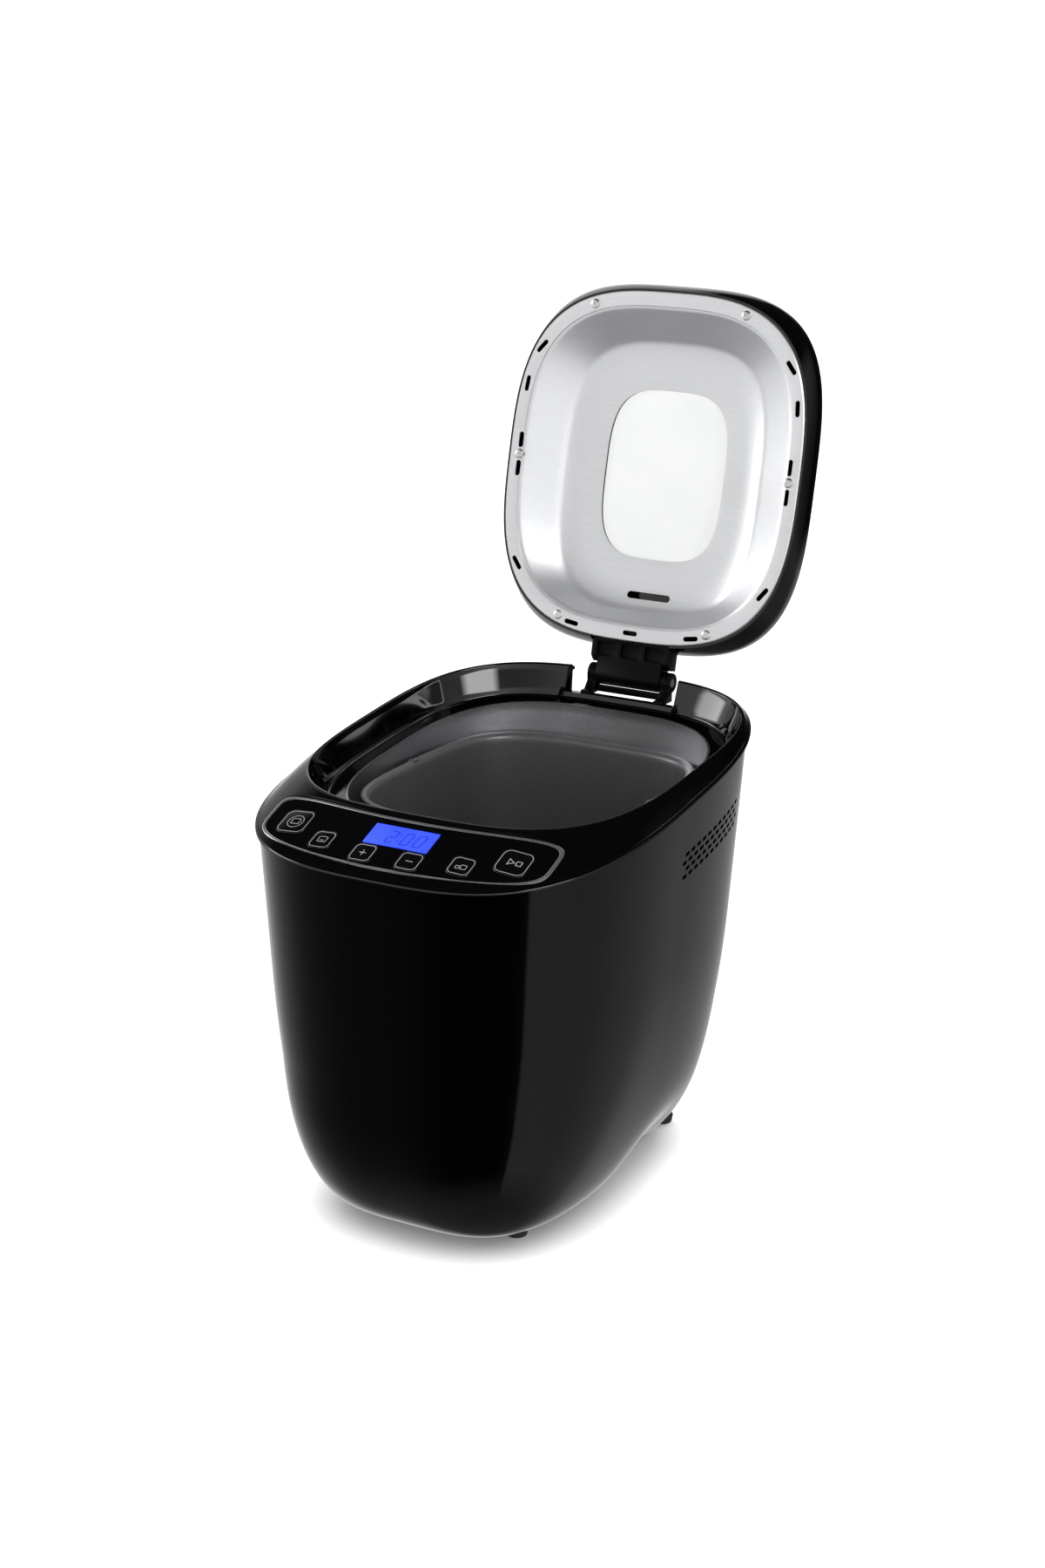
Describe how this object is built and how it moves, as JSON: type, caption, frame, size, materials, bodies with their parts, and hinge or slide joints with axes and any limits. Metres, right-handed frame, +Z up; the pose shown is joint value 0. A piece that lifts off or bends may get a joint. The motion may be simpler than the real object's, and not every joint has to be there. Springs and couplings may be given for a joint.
{
  "type": "bread machine",
  "caption": "Automatic bread machine with a hinged windowed lid, sloping key panel with display, and a lift-out pan with handle and belt-driven kneading paddle.",
  "frame": {"origin": "on the table under the middle of the machine's box with its lid open", "axes": "+Z up, +Y from the front to the back, +X to the right seen from the front"},
  "size_m": [0.2424, 0.3756, 0.5066],
  "materials": {
    "black_gloss": "high gloss black moulding",
    "black_satin": "satin black moulding",
    "rubber_black": "matt",
    "screw_steel": "zinc plated",
    "panel_gloss": "glossy black sheet",
    "trim_silver": "bright silver",
    "display_blue": "clear lens over a blue backlight",
    "board_green": "solder mask green",
    "key_black": "soft gloss black",
    "tray_steel": "brushed stainless steel",
    "window_glass": "clear toughened glass",
    "chamber_metal": "plated sheet steel",
    "element_metal": "dark sheathed tube",
    "ceramic": "unglazed ceramic",
    "pan_coat": "dark non-stick coating",
    "handle_wire": "plated wire",
    "shaft_steel": "ground steel",
    "cast_metal": "die cast",
    "pulley_nylon": "natural nylon",
    "brass": "turned",
    "belt_rubber": "ribbed belt rubber",
    "motor_metal": "laminated iron core",
    "fan_blue": "moulded fan",
    "capacitor_white": "moulded case",
    "board_brown": "paper phenolic board"
  },
  "bodies": {
    "housing": {"outer_shell": "black_gloss", "base_plate": "black_satin", "feet": "rubber_black", "base_screws": "screw_steel", "rear_cover": "black_satin", "cord_gland": "rubber_black", "top_frame": "black_gloss", "lid_bumpers": "rubber_black", "control_panel": "panel_gloss", "panel_trim": "trim_silver", "display_lens": "display_blue", "display_module": "black_satin", "control_board": "board_green", "key_switches": "black_satin", "hinge_bracket": "black_satin", "hinge_pin": "shaft_steel", "baking_chamber": "chamber_metal", "heating_element": "element_metal", "element_supports": "chamber_metal", "element_terminals": "ceramic", "temperature_sensor": "shaft_steel", "thermal_fuse": "ceramic", "pan_clips": "chamber_metal", "shaft_bearing": "cast_metal", "drive_belt": "belt_rubber", "chassis": "chamber_metal", "motor": "motor_metal", "motor_capacitor": "capacitor_white", "power_board": "board_brown"},
    "lid": {"lid_cover": "black_gloss", "lid_liner": "tray_steel", "lid_window": "window_glass", "window_frame": "black_satin", "lid_screws": "screw_steel", "hinge_arm": "black_satin", "arm_screws": "screw_steel"},
    "pan": {"bread_pan": "pan_coat", "pan_hub": "cast_metal"},
    "handle": {"pan_handle": "handle_wire"},
    "pan_spindle": {"paddle_shaft": "shaft_steel", "pan_coupling": "cast_metal"},
    "paddle": {"kneading_paddle": "pan_coat"},
    "drive": {"drive_coupling": "cast_metal", "drive_shaft": "shaft_steel", "large_pulley": "pulley_nylon"},
    "rotor": {"motor_shaft": "shaft_steel", "motor_fan": "fan_blue", "small_pulley": "brass"},
    "menu_key": {"menu_button": "key_black"},
    "crust_key": {"crust_button": "key_black"},
    "time_up_key": {"time_up_button": "key_black"},
    "time_down_key": {"time_down_button": "key_black"},
    "loaf_size_key": {"loaf_size_button": "key_black"},
    "start_stop_key": {"start_stop_button": "key_black"}
  },
  "joints": [
    {"name": "lid_hinge", "type": "hinge", "parent": "housing", "child": "lid", "pos_m": [0, 0.11546, 0.27041], "axis": [-1, 0, 0], "range_deg": [-109.8, 0]},
    {"name": "pan_lift", "type": "slide", "parent": "housing", "child": "pan", "axis": [0, 0, 1], "range_m": [0, 0.18]},
    {"name": "handle_swing", "type": "hinge", "parent": "pan", "child": "handle", "pos_m": [0, -0.01291, 0.2334], "axis": [1, 0, 0], "range_deg": [0, 180]},
    {"name": "spindle_turn", "type": "hinge", "parent": "pan", "child": "pan_spindle", "pos_m": [0, -0.01291, 0.103], "axis": [0, 0, 1], "continuous": true},
    {"name": "paddle_lift", "type": "slide", "parent": "pan_spindle", "child": "paddle", "axis": [0, 0, 1], "range_m": [0, 0.04]},
    {"name": "drive_turn", "type": "hinge", "parent": "housing", "child": "drive", "pos_m": [0, -0.01291, 0.069], "axis": [0, 0, 1], "continuous": true},
    {"name": "motor_turn", "type": "hinge", "parent": "housing", "child": "rotor", "pos_m": [-0.02, -0.13423, 0.069], "axis": [0, 0, 1], "continuous": true},
    {"name": "menu_press", "type": "slide", "parent": "housing", "child": "menu_key", "axis": [0.0934, 0.3762, -0.9218], "range_m": [0, 0.0008], "stiffness_N_per_m": 800},
    {"name": "crust_press", "type": "slide", "parent": "housing", "child": "crust_key", "axis": [0.0592, 0.3772, -0.9242], "range_m": [0, 0.0008], "stiffness_N_per_m": 800},
    {"name": "time_up_press", "type": "slide", "parent": "housing", "child": "time_up_key", "axis": [0.0197, 0.3778, -0.9257], "range_m": [0, 0.0008], "stiffness_N_per_m": 800},
    {"name": "time_down_press", "type": "slide", "parent": "housing", "child": "time_down_key", "axis": [-0.0197, 0.3778, -0.9257], "range_m": [0, 0.0008], "stiffness_N_per_m": 800},
    {"name": "loaf_size_press", "type": "slide", "parent": "housing", "child": "loaf_size_key", "axis": [-0.0592, 0.3772, -0.9242], "range_m": [0, 0.0008], "stiffness_N_per_m": 800},
    {"name": "start_stop_press", "type": "slide", "parent": "housing", "child": "start_stop_key", "axis": [-0.0934, 0.3762, -0.9218], "range_m": [0, 0.0008], "stiffness_N_per_m": 800}
  ],
  "couplings": [
    {"joint": "spindle_turn", "follows": "drive_turn", "ratio": 1},
    {"joint": "motor_turn", "follows": "drive_turn", "ratio": 5.8571}
  ]
}
